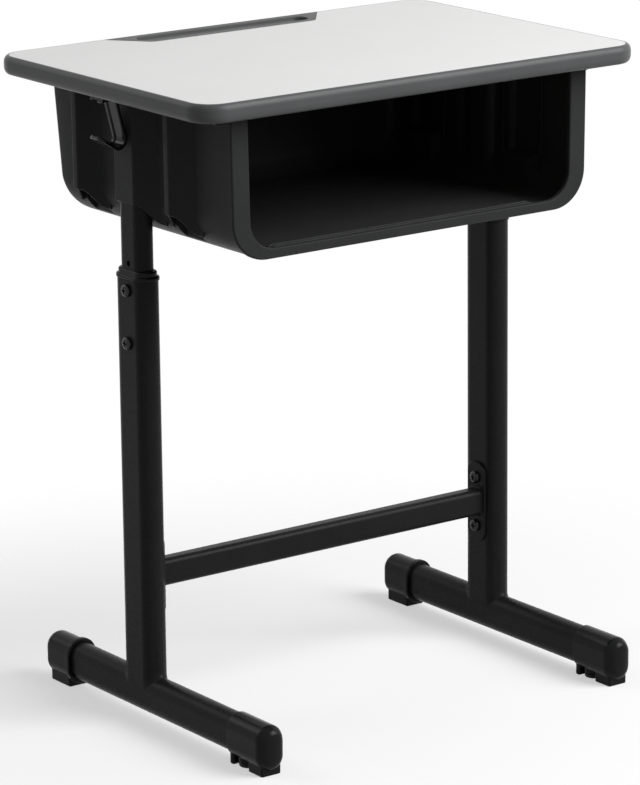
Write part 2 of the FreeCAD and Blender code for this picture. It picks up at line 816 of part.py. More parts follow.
def make_rear_cap():
    """Rear cap: sleeve with a rounded end, a lip at its mouth and one long block."""
    end = foot_rear_reach
    start = end - rear_cap_long
    solid = foot_body(cap_wall, start, end)
    solid = solid.makeFillet(rear_nose_r, level_edges(solid, "Y", leg_y + end))
    lip = foot_body(cap_wall + rear_lip_out, start, start + rear_lip_long)
    rims = level_edges(lip, "Y", leg_y + start) + level_edges(lip, "Y", leg_y + start + rear_lip_long)
    lip = lip.makeFillet(rear_lip_r, rims)
    heel = toe(end - rear_block_back - rear_block_long, end - rear_block_back, toe_r)
    solid = solid.fuse([lip, heel]).cut(cap_bore(start - overrun, end - rear_cap_end))
    return solid.removeSplitter()


def make_glide():
    """Round levelling glide on its threaded stud."""
    disc = Part.makeCylinder(glide_r, glide_tall, V(-leg_x, glide_y(), 0))
    disc = disc.makeChamfer(glide_edge, level_edges(disc, "Z", 0))
    stud = Part.makeCylinder(stud_r, stud_tall, V(-leg_x, glide_y(), 0))
    return disc.fuse(stud).removeSplitter()


os.makedirs("parts", exist_ok=True)
save(make_core(), "desktop_core")
save(make_laminate(), "desktop_laminate")
save(make_band(), "edge_band")
save(make_tray(), "pencil_tray")
save(make_box(), "book_box")
save(make_screws(top_under - ear_thick), "box_screws")
save(make_screws(top_under - hook_thick), "hook_screws")
save(make_screws(top_under - plate_thick), "plate_screws")
save_pair(make_hook(), "bag_hook")
save_pair(make_plate(), "top_plate")
save_pair(make_upper_tube(), "upper_tube")
save_pair(make_shoe(), "tube_shoe")
save_pair(make_lower_tube(), "lower_tube")
save_pair(make_collar(), "collar")
save(make_height_bolts(), "height_bolts")
save(make_bar(), "cross_bar")
save_pair(make_end_plate(), "bar_plate")
save(make_bar_bolts(), "bar_bolts")
save_pair(make_foot_tube(), "foot_tube")
save_pair(make_front_cap(), "front_cap")
save_pair(make_rear_cap(), "rear_cap")
save_pair(make_glide(), "glide")
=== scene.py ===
"""Student desk: moulded edge, pencil tray, ribbed book box and coated T-foot legs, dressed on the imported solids."""
import math
import bmesh
import bpy
import numpy as np
from mathutils import Matrix


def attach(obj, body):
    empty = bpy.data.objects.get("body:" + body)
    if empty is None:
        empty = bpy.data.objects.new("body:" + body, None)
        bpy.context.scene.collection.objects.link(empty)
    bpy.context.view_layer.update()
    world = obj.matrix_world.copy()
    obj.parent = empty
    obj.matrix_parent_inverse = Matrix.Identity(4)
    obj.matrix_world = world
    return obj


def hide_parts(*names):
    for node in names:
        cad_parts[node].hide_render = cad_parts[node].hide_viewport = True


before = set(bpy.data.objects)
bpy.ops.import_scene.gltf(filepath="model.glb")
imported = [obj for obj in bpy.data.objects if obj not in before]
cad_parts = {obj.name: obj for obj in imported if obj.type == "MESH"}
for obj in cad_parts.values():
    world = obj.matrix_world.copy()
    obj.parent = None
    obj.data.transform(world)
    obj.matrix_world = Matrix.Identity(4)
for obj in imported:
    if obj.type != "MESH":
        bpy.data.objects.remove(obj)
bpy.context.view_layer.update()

# Lengths are in millimetres. Places and outer sizes are the solids' own; edges and small forms are finer here.
MM = 0.001
MERGE, SLIVER = 2e-6, 1e-6  # metres

# Desk top and moulded edge
DESK_HEIGHT, TOP_UNDER = 740.0, 719.0
TOP_WIDTH, TOP_DEPTH, TOP_CORNER, TOP_MID, TOP_BACK = 600.0, 414.0, 32.0, 19.2, 226.2
BAND, BAND_IN, BAND_TOP_R, BAND_UNDER_R = 6.0, 5.4, 8.0, 8.5

# Pencil tray and its trough
TRAY_BACK, TRAY_FRONT, TRAY_DEPTH, TRAY_THICK, TRAY_SHIFT = 301.0, 228.0, 46.5, 12.0, -5.0
TRAY_CORNER, TRAY_EDGE_R, TRAY_EDGE_IN, TRAY_ROWS = 14.0, 1.2, 4.0, 180
TROUGH_LONG, TROUGH_WIDE, TROUGH_DEEP, TROUGH_BACK, TROUGH_SEAM = 236.0, 24.5, 8.5, 10.0, 1.0
TROUGH_LIP_R, TROUGH_LIP_OUT, TROUGH_FLOOR_R, TROUGH_DRAFT = 1.3, 2.0, 6.0, 0.6

# Book box: walls, front rim and floor ridge
BOX_HALF, BOX_TAPER, BOX_FLOOR, BOX_WALL, BOX_CORNER = 241.5, 2.5, 559.0, 2.6, 41.0
BOX_FRONT, BOX_REAR, BOX_REAR_LEAN, BOX_REAR_R, BOX_EDGE_R = -156.8, 206.2, 16.0, 26.0, 16.0
BOX_TALL = TOP_UNDER - BOX_FLOOR
BOX_LEAN_FROM, SKIN_BACK = 128.0, 1.5
SIDE_LEVELS = (0.03, 0.3, 0.6, 0.95, 0.985)  # shares of a side's height where its points lie
RIM_PROUD, RIM_WIDE, RIM_LOW, RIM_THICK, RIM_INNER_R = 3.0, 23.0, 11.5, 6.0, 32.0
RIM_EDGE_R, RIM_INSIDE_R, RIM_BACK_R = 2.2, 2.0, 0.6
RIDGE_BACK, RIDGE_LONG, RIDGE_SINK, RIDGE_ROOT, RIDGE_LEAST = 16.0, 366.0, 8.0, 0.8, 0.0004
# Half of the ridge's section: along, up, corner radius
RIDGE_HALF = [(1.7, 2.6, 0.6), (2.4, 5.6, 0.6), (5.2, 5.6, 1.2), (6.6, -RIDGE_ROOT, 0.2)]

# Book box: ribs, the notches behind their open ends, and screw ears
RIB_PLACES, RIB_WIDE, LEG_RIB_WIDE = (97.58, -83.08), 9.0, 36.0
RIB_PROUD, RIB_TAPER, RIB_RUN, RIB_EDGE_R = 21.0, 1.0, 17.0, 3.2
RIB_SHOULDER, RIB_SHOULDER_DROP, RIB_SPREAD, RIB_SUNK, RIB_HOLLOW = 2.2, 3.0, 9.0, 5.0, 1.65
TRIM_RISE, TRIM_IN, RIB_SWOOP, SWOOP_FROM, SWOOP_TO = 39.0, 120.0, 14.0, 0.2, 1.15
# For each skin of a rib: its inset, and its lip's rows (drawn in, raised)
RIB_LIPS = ((0.0, [(1.0, 0.0), (0.35, 0.35), (0.0, 1.1)]), (BOX_WALL, [(-0.5, 0.0), (-0.15, 0.3), (0.0, 0.8)]))
NOTCH_IN, NOTCH_TALL, NOTCH_HALF, NOTCH_SLOPE, NOTCH_CLOSE = 18.0, 44.0, 19.5, 1.5, 1.0
SLEEVE_ROOM, NO_LIMIT = 2.0, 999.0
NOTCH_ROWS = (-0.1, 0.5, 1.0, 1.6, 2.7, 3.4, 4.2)  # beyond a notch's edge
LEG_ROWS = (*np.linspace(0, 29, 24), 26.65, 58.4, 58.8)  # each side of the leg's middle
EAR_LONG, EAR_OUT, EAR_THICK, EAR_R, EAR_ROOT_R = 24.0, 14.0, 9.0, 6.0, 0.3
EAR_PLACES, REAR_EAR_X = (-160.6, 143.4), 167.5
EAR_ROWS = ((0.955, 0.0), (0.985, 0.25), (1.0, 0.9), (1.0, EAR_THICK))  # share of the tab, height
PLATE_LONG, PLATE_ROOM, PLATE_THICK = 116.0, 0.6, 3.0

# Bag hook
HOOK_OUT, HOOK_FLANGE, HOOK_IN, HOOK_DROP = 277.0, 18.0, 11.0, 44.0
HOOK_WIDE, HOOK_THICK, HOOK_EDGE_R, HOOK_BEND_R, HOOK_CURL_R = 25.0, 4.0, 1.3, 5.0, 9.0
HOOK_TIP, HOOK_TIP_R, HOOK_TIP_THIN = (-19.0, 13.0), 9.0, 0.08
TIP_ROWS = np.array([16.0, 12, 10, 9, 8, 7, 6, 5, 4, 3, 2, 1.4, 0.9, 0.5, 0.2, 0.0])  # distance to the tip
GROOVE_WIDE, GROOVE_DEEP, GROOVE_SLOPE, GROOVE_EDGE_R, GROOVE_FLOOR_R = 15.5, 1.4, 0.5, 0.5, 0.4
GROOVE_REACH, GROOVE_FADE = 0.6, (5.0, 8.0)

# Legs, collars and bolts
LEG_X, LEG_Y = 246.1, 23.8
LOWER_LONG, LOWER_WIDE, UPPER_LONG, UPPER_WIDE, TUBE_WALL = 58.0, 30.0, 44.0, 24.0, 1.5
LOWER_TOP, MOUTH_R, MOUTH_DOWN = 511.5, 0.6, 4.0
WELD_SPREAD, WELD_TALL, WELD_SIDE, WELD_RIPPLE, RIPPLE_TURN = 5.0, 9.0, 0.35, 0.07, 2.1
COLLAR_TALL, COLLAR_BEAD, COLLAR_OUT, COLLAR_NECK, COLLAR_DEEP, FIT = 11.0, 5.0, 1.3, 1.4, 42.0, 0.3
COLLAR_SEAT, COLLAR_STEP, COLLAR_IN = 1.65, 0.3, 4.0
COLLAR_UNDER_R, COLLAR_BEAD_R, COLLAR_NECK_R = 1.5, 1.9, 0.8
BOLT_LEVELS, BOLT_HEAD_R, BOLT_HEAD_TALL, BOLT_EDGE_R = (499.5, 439.5), 7.4, 4.6, 2.6
BOLT_R, BOLT_BITE, BOLT_CROWN, BOLT_FLAT = 3.0, 2.7, 0.012, 0.58
RECESS_DEEP, RECESS_FLOOR, RECESS_MOUTH = 2.0, (0.62, 3.2), (0.98, 3.65)  # half width, half length of an arm

# Cross bar and its end plates
BAR_TALL, BAR_DEEP, BAR_R, BAR_HEIGHT, BAR_WELD = 32.0, 22.0, 7.0, 169.0, 2.6
END_TALL, END_WIDE, END_THICK, END_PITCH, END_R = 96.0, 32.0, 3.0, 60.0, 12.5
END_LID, END_BACK_R, END_FACE_R = 6.0, 0.5, 1.0

# Feet: caps, their blocks and the levelling glides
FOOT_TALL, FOOT_WIDE, FOOT_MID = 45.0, 30.0, 32.0
CAP_WALL, CAP_FIT, CAP_MOUTH_R, CAP_BORE_R = 2.3, 0.1, 1.1, 0.5
FRONT_REACH, FRONT_CAP, FRONT_END, FRONT_NOSE = 250.0, 70.0, 12.0, 12.0
FACE_EDGE, FACE_DOME, FACE_R, NOSE_R = 5.5, 2.6, 10.0, 9.0
CHIN_DEEP, CHIN_FROM, CHIN_LONG = 3.4, 4.0, 38.0
REAR_REACH, REAR_CAP, REAR_END, REAR_NOSE = 188.0, 54.0, 12.0, 9.0
LIP_OUT, LIP_LONG, LIP_R, LIP_ROOT_R = 2.2, 7.0, 1.4, 0.9
TOE_WIDE, TOE_R, TOE_LONG, TOE_BACK, HEEL_LONG = 26.0, 3.0, 27.0, 8.0, 8.0
BLOCK_LONG, BLOCK_BACK, BLOCK_TOP, BLOCK_LID, BLOCK_EDGE_R = 40.0, 6.0, 22.0, 2.0, 1.2
GLIDE_Y, GLIDE_R, GLIDE_TALL, BOSS_R, BOSS_LOW, STUD_R, STUD_TALL = -176.2, 11.5, 4.4, 12.2, 5.4, 4.0, 30.0
GLIDE_SOLE_R, GLIDE_RIM_R, STUD_ROOT_R, STUD_END_R = 1.4, 0.8, 0.5, 0.6

# Studio, in metres and watts
FILL_LIGHT, FLOOR_HALF, FLOOR_TONE, FLOOR_CLEAR, FADE_FROM, FADE_TO = 0.2, 3.0, 0.97, 0.5, 0.35, 0.95
LAMP_AIM = (0, 0, 0.45)
# Each lamp: name, place, size, power
LAMPS = (("front_box", (1.7, -2.3, 2.45), 2.5, 158), ("side_box", (-1.8, 2.1, 2.3), 1.7, 18))


def step(value, low, high):
    """Smooth step from 0 below low to 1 above high."""
    t = np.clip((value - low) / (high - low), 0, 1)
    return t * t * (3 - 2 * t)


def rounded_outline(wide, deep, r, steps=12):
    """Rounded rectangle: the centre of each corner plus r times a direction that turns a quarter circle. Gives the
    points and the directions."""
    turn = (np.arange(4)[:, None] + np.linspace(0, 1, steps)[None]) * np.pi / 2
    way = np.stack([np.cos(turn), np.sin(turn)], -1)
    corner = np.array([[1, 1], [-1, 1], [-1, -1], [1, -1]]) * [wide / 2 - r, deep / 2 - r]
    return (corner[:, None] + r * way).reshape(-1, 2), way.reshape(-1, 2)


def oval(long, wide, steps=14):
    """Flat oval: a rounded rectangle whose radius is half its width."""
    return rounded_outline(wide, long, wide / 2, steps)


def soft_line(corners, steps=7):
    """Runs between corners (a, b, r), each corner replaced by an arc of radius r that touches both runs. A corner with
    no radius, or one that hardly turns, stays a point."""
    c = np.array([(*p, 0.0)[:3] for p in corners], float)
    straight = 1.57
    out = [c[:1, :2]]
    for before, here, after in zip(c[:-2], c[1:-1], c[2:]):
        u, w = before[:2] - here[:2], after[:2] - here[:2]
        u, w = u / np.linalg.norm(u), w / np.linalg.norm(w)
        half = math.acos(np.clip(u @ w, -1, 1)) / 2
        if here[2] == 0 or half > straight:
            out.append(here[None, :2])
            continue
        mid = here[:2] + (u + w) / np.linalg.norm(u + w) * here[2] / math.sin(half)
        reach = here[2] / math.tan(half)
        turn, t = math.pi - 2 * half, np.linspace(0, 1, steps)[:, None]
        first, last = here[:2] + u * reach - mid, here[:2] + w * reach - mid
        out.append(mid + (np.sin((1 - t) * turn) * first + np.sin(t * turn) * last) / math.sin(turn))
    return np.concatenate(out + [c[-1:, :2]])


def soft_loop(corners, steps=6):
    """Closed line of runs and arcs through corners (a, b, r)."""
    return soft_line([corners[-1], *corners, corners[0]], steps)[1:-1]


def carried(outline, profile):
    """Profile carried round an outline: each row is the outline moved out by the profile's first value, at the height
    of its second."""
    points, way = outline
    rows = points[None] + way[None] * profile[:, :1, None]
    level = np.broadcast_to(profile[:, 1][:, None, None], rows.shape[:2] + (1,))
    return np.concatenate([rows, level], -1)


def ovals(rows):
    """Stack of flat ovals: rows of (long, wide, height)."""
    flat = [(oval(long, wide)[0], height) for long, wide, height in rows]
    return np.stack([np.column_stack([points, np.full(len(points), height)]) for points, height in flat])


def spine(row):
    """A ring pulled on to its own middle line: its points clamped to the difference of its half extents."""
    low, high = row[:, :2].min(0), row[:, :2].max(0)
    mid, half = (low + high) / 2, (high - low) / 2
    reach = half - half.min()
    out = row.copy()
    out[:, :2] = mid + np.clip(row[:, :2] - mid, -reach, reach)
    return out[None]


def lidded(grid):
    """Grid closed at both ends by rows that lie on the end rings' middle lines."""
    return np.concatenate([spine(grid[0]), grid, spine(grid[-1])])


def upright(grid, x=0.0, y=0.0, z=0.0):
    """Outline level, profile upwards, shifted to a place."""
    return grid + [x, y, z]


def lying_y(grid, x=0.0, y=0.0, z=0.0):
    """Outline in the XZ plane, profile along Y."""
    return grid[..., [0, 2, 1]] + [x, y, z]


def lying_x(grid, x=0.0, y=0.0, z=0.0):
    """Outline in the YZ plane, profile along X."""
    return grid[..., [2, 0, 1]] + [x, y, z]


def faces_of(grid, wrap_rows=False, wrap_cols=False):
    """Points of a grid and the four-cornered faces between neighbouring rows and columns."""
    rows, cols = grid.shape[:2]
    index = np.arange(rows * cols).reshape(rows, cols)
    index = np.vstack([index, index[:1]]) if wrap_rows else index
    index = np.hstack([index, index[:, :1]]) if wrap_cols else index
    faces = np.stack([index[:-1, :-1], index[:-1, 1:], index[1:, 1:], index[1:, :-1]], -1)
    return grid.reshape(-1, 3), faces.reshape(-1, 4)


def ring(grid):
    """Grid whose columns close on themselves."""
    return faces_of(grid, wrap_cols=True)


def loop(grid):
    """Grid whose rows and columns both close on themselves."""
    return faces_of(grid, wrap_rows=True, wrap_cols=True)


def shell(outer, inner):
    """Wall between two grids of one shape: both skins and the four strips that join their borders."""
    strips = [(outer[0], inner[0]), (outer[-1], inner[-1]), (outer[:, 0], inner[:, 0]), (outer[:, -1], inner[:, -1])]
    return [faces_of(g) for g in [outer, inner] + [np.stack(pair) for pair in strips]]


def zipped(line):
    """Flat closed line filled by strips between its two halves."""
    half = len(line) // 2
    return faces_of(np.stack([line[:half], line[half:][::-1]]))


def end_fill(line):
    """Closed line filled to its middle."""
    return ring(np.stack([line, np.broadcast_to(line.mean(0), line.shape)]))


def flipped(parts):
    """The same surfaces on the other side of the desk."""
    return [(points * [-1, 1, 1], faces) for points, faces in parts]


def shifted(parts, *place):
    """Surfaces moved to a place."""
    return [(points + place, faces) for points, faces in parts]


def placed(name, data):
    """New object that holds a mesh, lamp or camera, put into the scene."""
    made = bpy.data.objects.new(name, data)
    bpy.context.scene.collection.objects.link(made)
    return made


def piece(name, parts, body, finish, nodes, sharp=38):
    """One mesh from surfaces: doubles merged so that seams and poles close, faces turned outwards, shaded by area."""
    starts = np.cumsum([0] + [len(points) for points, faces in parts[:-1]])
    points = np.concatenate([points for points, faces in parts]) * MM
    faces = np.concatenate([faces + start for (_, faces), start in zip(parts, starts)])
    mesh = bpy.data.meshes.new(name)
    mesh.from_pydata(points.tolist(), [], faces.tolist())
    work = bmesh.new()
    work.from_mesh(mesh)
    bmesh.ops.remove_doubles(work, verts=work.verts, dist=MERGE)
    bmesh.ops.dissolve_degenerate(work, dist=SLIVER, edges=work.edges)
    bmesh.ops.recalc_face_normals(work, faces=work.faces)
    work.to_mesh(mesh)
    work.free()
    mesh.shade_smooth()
    mesh.set_sharp_from_angle(angle=math.radians(sharp))
    mesh.materials.append(finish)
    made = placed(name, mesh)
    even = made.modifiers.new("even_shading", "WEIGHTED_NORMAL")
    even.keep_sharp = True
    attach(made, body)
    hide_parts(*nodes)
    return made


def pair(name, parts, body, finish, slot, node):
    """A left-hand piece and its mirror, each for its own solid."""
    piece(name + "_left", parts, body, finish, [node + "_left"])
    piece(name + "_right", flipped(parts), body, finish, [node + "_right"])


def add(tree, kind, props=None, **inputs):
    """Shader node with its properties set and its inputs filled or linked. An input is named, or numbered as i0, i1."""
    made = tree.nodes.new(kind)
    for key, value in (props or {}).items():
        setattr(made, key, value)
    for key, value in inputs.items():
        numbered = key[0] == "i" and key[1:].isdigit()
        socket = made.inputs[int(key[1:])] if numbered else made.inputs[key.replace("_", " ")]
        if isinstance(value, bpy.types.NodeSocket):
            tree.links.new(value, socket)
        else:
            socket.default_value = value
    return made


def blank(name, rough, **sockets):
    """Material with one principled shader; constants go straight on its sockets."""
    made = bpy.data.materials.new(name)
    made.use_nodes = True
    tree = made.node_tree
    shader = tree.nodes["Principled BSDF"]
    shader.inputs["Roughness"].default_value = rough
    for key, value in sockets.items():
        shader.inputs[key.replace("_", " ")].default_value = value
    place = tree.nodes.new("ShaderNodeTexCoord").outputs["Object"]
    return made, tree, shader, place


def feed(tree, shader, **outputs):
    """Outputs linked to the shader's sockets of those names."""
    for key, value in outputs.items():
        tree.links.new(value, shader.inputs[key.replace("_", " ")])


def grey(value, tint=0.0):
    """Neutral colour, a little cool or warm."""
    return (value * (1 - tint), value, value * (1 + tint), 1)


def patches(tree, place, scale, detail=2.0, rough=0.5, stretch=None):
    """Soft noise between 0 and 1 at a number of features a metre."""
    if stretch:
        place = add(tree, "ShaderNodeMapping", Vector=place, Scale=stretch).outputs[0]
    return add(tree, "ShaderNodeTexNoise", Vector=place, Scale=scale, Detail=detail, Roughness=rough).outputs["Fac"]


def spread(tree, value, low, high, first, last):
    """Value from low to high turned into a range from first to last."""
    return add(tree, "ShaderNodeMapRange", i0=value, i1=low, i2=high, i3=first, i4=last).outputs[0]


def tinted(tree, value, stops):
    """Colour ramp through stops (place, colour)."""
    made = add(tree, "ShaderNodeValToRGB", i0=value)
    band = made.color_ramp
    while len(band.elements) < len(stops):
        band.elements.new(0.5)
    for element, (at, colour) in zip(band.elements, stops):
        element.position, element.color = at, colour
    return made.outputs["Color"]


def relief(tree, shader, height, distance, strength=1.0):
    """Fine relief from a height."""
    made = add(tree, "ShaderNodeBump", Height=height, Distance=distance, Strength=strength)
    feed(tree, shader, Normal=made.outputs[0])


def blended(tree, share, a, b):
    """Mix of two values."""
    return add(tree, "ShaderNodeMix", i0=share, i2=a, i3=b).outputs[0]


def moulded(name, level, rough, grain, deep, **sockets):
    """Moulded plastic: slow tone drift, fine grain in tone and relief, handling marks that shine a little more."""
    made, tree, shader, place = blank(name, rough, **sockets)
    drift = patches(tree, place, scale=14, detail=3)
    fine = patches(tree, place, scale=grain, detail=3, rough=0.65)
    marks = patches(tree, place, scale=60, detail=4, rough=0.6, stretch=(1, 1, 0.35))
    tone = blended(tree, 0.45, drift, fine)
    shares = [(0.3, 0.9), (0.5, 1.0), (0.72, 1.14)]
    colour = tinted(tree, tone, [(at, grey(level * share, tint=0.02)) for at, share in shares])
    feed(tree, shader, Base_Color=colour, Roughness=spread(tree, marks, 0.35, 0.7, rough + 0.025, rough - 0.03))
    relief(tree, shader, fine, deep)
    return made


def powder_coat(name, level, rough, **sockets):
    """Baked powder coat on steel: pebbled relief over a slow orange peel, with dust-light grains in the tone."""
    made, tree, shader, place = blank(name, rough, **sockets)
    pebble = patches(tree, place, scale=1500, rough=0.6)
    peel = patches(tree, place, scale=260)
    tone = blended(tree, 0.6, patches(tree, place, scale=30, detail=3), pebble)
    shares = [(0.3, 0.85), (0.52, 1.0), (0.75, 1.25)]
    colour = tinted(tree, tone, [(at, grey(level * share)) for at, share in shares])
    feed(tree, shader, Base_Color=colour, Roughness=spread(tree, peel, 0.3, 0.7, rough - 0.05, rough + 0.07))
    relief(tree, shader, blended(tree, 0.55, peel, pebble), distance=0.00022)
    return made


def laminate_sheet():
    """Light satin laminate: faint cloudy tone, fine specks and a suede relief that breaks the gloss."""
    made, tree, shader, place = blank("light_laminate", rough=0.62, Specular_IOR_Level=0.03)
    cloud = patches(tree, place, scale=9, detail=3)
    speck = add(tree, "ShaderNodeTexVoronoi", Vector=place, Scale=420).outputs["Distance"]
    base = tinted(tree, cloud, [(0.3, grey(0.818, -0.004)), (0.7, grey(0.832, -0.003))])
    dark = tinted(tree, speck, [(0.0, grey(0.93)), (0.16, grey(1.0))])
    mix = add(tree, "ShaderNodeMix", {"data_type": "RGBA", "blend_type": "MULTIPLY"}, i0=1.0, i6=base, i7=dark)
    use = patches(tree, place, scale=22, detail=4, rough=0.6)
    feed(tree, shader, Base_Color=mix.outputs[2], Roughness=spread(tree, use, 0.35, 0.65, 0.67, 0.57))
    relief(tree, shader, patches(tree, place, scale=1700), distance=0.00004)
    return made


def plated(name, level, rough):
    """Plated steel: metal with fine turned scratches and a cloudy plating tone."""
    made, tree, shader, place = blank(name, rough, Metallic=0.85)
    cloud = patches(tree, place, scale=240, detail=3)
    scratch = patches(tree, place, scale=900, detail=3, rough=0.6, stretch=(1, 1, 6))
    colour = tinted(tree, cloud, [(0.3, grey(level * 0.8, 0.01)), (0.7, grey(level * 1.15, -0.01))])
    feed(tree, shader, Base_Color=colour, Roughness=spread(tree, scratch, 0.3, 0.7, rough - 0.08, rough + 0.1))
    relief(tree, shader, scratch, distance=0.00006)
    return made


def particle_board():
    """Raw board: flattened chips in several browns."""
    made, tree, shader, place = blank("particle_board", rough=0.85)
    flat = add(tree, "ShaderNodeMapping", Vector=place, Scale=(1, 1, 3)).outputs[0]
    chip = add(tree, "ShaderNodeTexVoronoi", Vector=flat, Scale=330).outputs["Color"]
    shade = add(tree, "ShaderNodeSeparateColor", i0=chip).outputs[0]
    tone = blended(tree, 0.5, shade, patches(tree, place, scale=700, detail=3))
    brown = [(0.2, (0.27, 0.18, 0.10, 1)), (0.5, (0.44, 0.32, 0.19, 1)), (0.8, (0.58, 0.45, 0.29, 1))]
    feed(tree, shader, Base_Color=tinted(tree, tone, brown))
    relief(tree, shader, tone, distance=0.0003)
    return made


light_laminate = laminate_sheet()
edge_plastic = moulded("edge_plastic", level=0.08, rough=0.34, grain=900, deep=0.00018, Specular_IOR_Level=0.16)
tray_plastic = moulded("tray_plastic", level=0.07, rough=0.46, grain=1000, deep=0.0001, Specular_IOR_Level=0.16)
box_plastic = moulded("box_plastic", level=0.031, rough=0.36, grain=620, deep=0.0004, Specular_IOR_Level=0.045)
cap_plastic = moulded("cap_plastic", level=0.008, rough=0.2, grain=900, deep=0.0001, Specular_IOR_Level=0.09)
glide_plastic = moulded("glide_plastic", level=0.016, rough=0.34, grain=900, deep=0.00006, Specular_IOR_Level=0.12)
hook_plastic = moulded("hook_plastic", level=0.010, rough=0.18, grain=800, deep=0.00006, Specular_IOR_Level=0.14)
leg_coat = powder_coat("leg_coat", level=0.013, rough=0.27, Specular_IOR_Level=0.055)
bolt_zinc = plated("bolt_zinc", level=0.022, rough=0.22)
screw_zinc = plated("screw_zinc", level=0.05, rough=0.34)
raw_board = particle_board()
for kind, nodes in {
    light_laminate: ["desktop_laminate"],
    raw_board: ["desktop_core"],
    screw_zinc: ["box_screws", "hook_screws", "plate_screws"],
    leg_coat: [part + side for part in ("top_plate", "upper_tube", "foot_tube") for side in ("_left", "_right")],
    cap_plastic: ["tube_shoe_left", "tube_shoe_right"],
}.items():
    for node in nodes:
        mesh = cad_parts[node].data
        mesh.materials.clear()
        mesh.materials.append(kind)


def edge_band():
    """Bull-nosed section, round above and below, carried round the top's rounded rectangle."""
    path = rounded_outline(TOP_WIDTH, TOP_DEPTH, TOP_CORNER, steps=20)
    turn = np.linspace(0, np.pi / 2, 11)
    over = np.stack([BAND_IN * (np.sin(turn) - 1), DESK_HEIGHT - BAND_TOP_R * (1 - np.cos(turn))], 1)
    under = np.stack([BAND_IN * (np.cos(turn) - 1), TOP_UNDER + BAND_UNDER_R * (1 - np.sin(turn))], 1)
    section = np.concatenate([[(-BAND, DESK_HEIGHT)], over, under, [(-BAND, TOP_UNDER)]])
    return [loop(upright(carried(path, section), y=TOP_MID))]


def tray_outline():
    """Tray's plan: a strip wider at the back, its front corners arcs, each run divided evenly into an even number of
    points."""
    back, front = TOP_BACK - BAND, TOP_BACK - BAND - TRAY_DEPTH
    half_b, half_f = TRAY_BACK / 2, TRAY_FRONT / 2
    corners = [(half_b, back), (half_f, front, TRAY_CORNER), (-half_f, front, TRAY_CORNER), (-half_b, back)]
    line = soft_line(corners, steps=14)
    line = np.concatenate([line, line[:1]])
    run = np.concatenate([[0], np.cumsum(np.linalg.norm(np.diff(line, axis=0), axis=1))])
    at = np.union1d(run, np.linspace(0, run[-1], TRAY_ROWS))[:-1]
    at = np.union1d(at, (at[-1] + run[-1]) / 2) if len(at) % 2 else at
    return np.stack([np.interp(at, run, line[:, 0]), np.interp(at, run, line[:, 1])], 1)


def pencil_tray():
    """Rows run up the tray's side, over its soft edge, across to the trough's oval lip, down its wall and floor to the
    middle line. Each point of the plan goes to the nearest point of the oval."""
    plan = tray_outline()
    mid_y = TOP_BACK - BAND - TROUGH_BACK - TROUGH_WIDE / 2
    half = (TROUGH_LONG - TROUGH_WIDE) / 2
    centre = np.column_stack([np.clip(plan[:, 0], -half, half), np.full(len(plan), mid_y)])
    way = (plan - centre) / np.linalg.norm(plan - centre, axis=1)[:, None]
    floor = DESK_HEIGHT - TROUGH_DEEP
    side = soft_line([(0, DESK_HEIGHT - TRAY_THICK), (0, DESK_HEIGHT, TRAY_EDGE_R),
                      (TRAY_EDGE_IN, DESK_HEIGHT)], steps=6)
    lip = soft_line([(TROUGH_LIP_OUT, DESK_HEIGHT), (0, DESK_HEIGHT, TROUGH_LIP_R),
                     (-TROUGH_DRAFT, floor, TROUGH_FLOOR_R), (TROUGH_SEAM - TROUGH_WIDE / 2, floor)], steps=9)
    outer = carried((plan, -way), side[:-1])
    dish = carried((centre, way), lip + [TROUGH_WIDE / 2, 0])
    grid = np.concatenate([outer, dish]) + [TRAY_SHIFT, 0, 0]
    return [ring(grid), zipped(grid[0]), zipped(grid[-1])]


def hook_path():
    """Points and directions of the strip in the XZ plane: flange, bend, leaning run, curl and rising tip."""
    corner = np.array([-HOOK_OUT, TOP_UNDER - HOOK_THICK / 2])
    low = corner + [HOOK_IN, -HOOK_DROP]
    down = (low - corner) / np.linalg.norm(low - corner)
    tip = np.array(HOOK_TIP)
    long, tip = np.linalg.norm(tip), tip / np.linalg.norm(tip)
    hollow, hollow_tip = np.array([down[1], -down[0]]), np.array([tip[1], -tip[0]])
    line = soft_line([corner - [HOOK_FLANGE, 0], (*corner, HOOK_BEND_R), low], steps=10)
    first, last = math.atan2(*-hollow[::-1]), math.atan2(*-hollow_tip[::-1])
    turn = np.linspace(first, last, 22)[1:]
    curl = low + hollow * HOOK_CURL_R + HOOK_CURL_R * np.stack([np.cos(turn), np.sin(turn)], 1)
    straight = curl[-1] + tip * (long - TIP_ROWS)[:, None]
    points = np.concatenate([line, curl, straight])
    way = np.gradient(points, axis=0)
    way[:2] = [1, 0]
    way[-len(TIP_ROWS):] = tip
    return points, way / np.linalg.norm(way, axis=1)[:, None]


